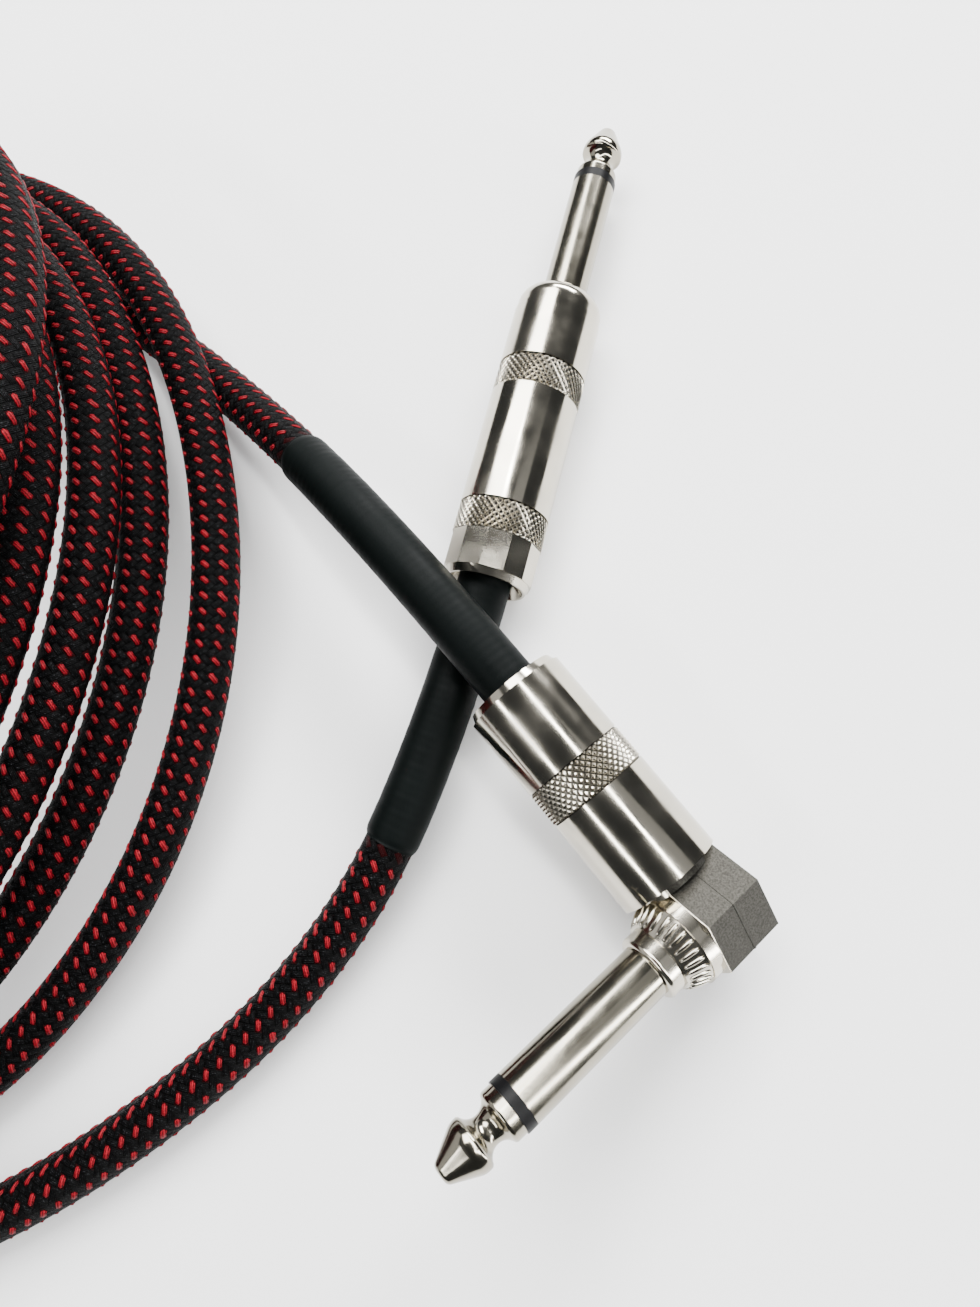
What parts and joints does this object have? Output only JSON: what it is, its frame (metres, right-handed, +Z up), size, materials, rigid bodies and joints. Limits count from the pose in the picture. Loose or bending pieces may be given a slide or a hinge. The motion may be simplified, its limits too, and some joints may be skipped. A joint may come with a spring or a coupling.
{
  "type": "instrument cable",
  "caption": "Braided instrument cable with a straight and a right-angle quarter-inch plug whose barrels unscrew, its middle laid in a loose coil.",
  "frame": {"origin": "on the resting surface, under the middle of the straight plug", "axes": "+Y along the straight plug towards its tip, +Z up"},
  "size_m": [0.2266, 0.1945, 0.034],
  "materials": {
    "nickel": "warm bright nickel plate",
    "cast_nickel": "nickel plate on a cast block, dull on its facets",
    "black_plastic": "black moulded plastic",
    "white_plastic": "white moulded plastic",
    "clear_plastic": "pale insulating sleeve",
    "fibre": "brown fibre washer",
    "tinned_brass": "tinned brass",
    "copper": "bare copper wire",
    "solder": "bright solder",
    "heat_shrink": "satin black heat-shrink sleeve",
    "braid": "black braided yarn with red flecks"
  },
  "bodies": {
    "plugs_and_cable": {"angle_block": "cast_nickel", "angle_cable_clamp": "tinned_brass", "angle_centre_post": "tinned_brass", "angle_centre_solder": "solder", "angle_conductor": "copper", "angle_dielectric": "white_plastic", "angle_drain_solder": "solder", "angle_drain_wire": "copper", "angle_heat_shrink": "heat_shrink", "angle_insulating_tube": "white_plastic", "angle_insulator_ring": "black_plastic", "angle_sleeve": "nickel", "angle_tip": "nickel", "cable_angle_lead": "braid", "cable_coil": "braid", "cable_straight_lead": "braid", "straight_cable_clamp": "tinned_brass", "straight_centre_solder": "solder", "straight_conductor": "copper", "straight_dielectric": "white_plastic", "straight_drain_solder": "solder", "straight_drain_wire": "copper", "straight_heat_shrink": "heat_shrink", "straight_insulating_tube": "white_plastic", "straight_insulator_ring": "black_plastic", "straight_nose": "nickel", "straight_rear_washer": "fibre", "straight_sleeve": "nickel", "straight_tip": "nickel"},
    "straight_liner": {"straight_liner": "clear_plastic"},
    "straight_barrel": {"straight_barrel": "nickel"},
    "angle_liner": {"angle_liner": "clear_plastic"},
    "angle_barrel": {"angle_barrel": "nickel"}
  },
  "joints": [
    {"name": "straight_barrel_travel", "type": "slide", "parent": "plugs_and_cable", "child": "straight_liner", "axis": [0, -1, 0], "range_m": [0, 0.003]},
    {"name": "straight_barrel_turn", "type": "hinge", "parent": "straight_liner", "child": "straight_barrel", "pos_m": [0, -0.0375, 0.0063], "axis": [0, -1, 0], "range_deg": [0, 1440]},
    {"name": "angle_barrel_travel", "type": "slide", "parent": "plugs_and_cable", "child": "angle_liner", "axis": [-0.7989, 0.589, 0.1219], "range_m": [0, 0.003]},
    {"name": "angle_barrel_turn", "type": "hinge", "parent": "angle_liner", "child": "angle_barrel", "pos_m": [0.00824, -0.05148, 0.01326], "axis": [-0.7989, 0.589, 0.1219], "range_deg": [0, 1440]}
  ],
  "couplings": [
    {"joint": "straight_barrel_travel", "follows": "straight_barrel_turn", "m_per_rad": 0.00011937},
    {"joint": "angle_barrel_travel", "follows": "angle_barrel_turn", "m_per_rad": 0.00011937}
  ]
}
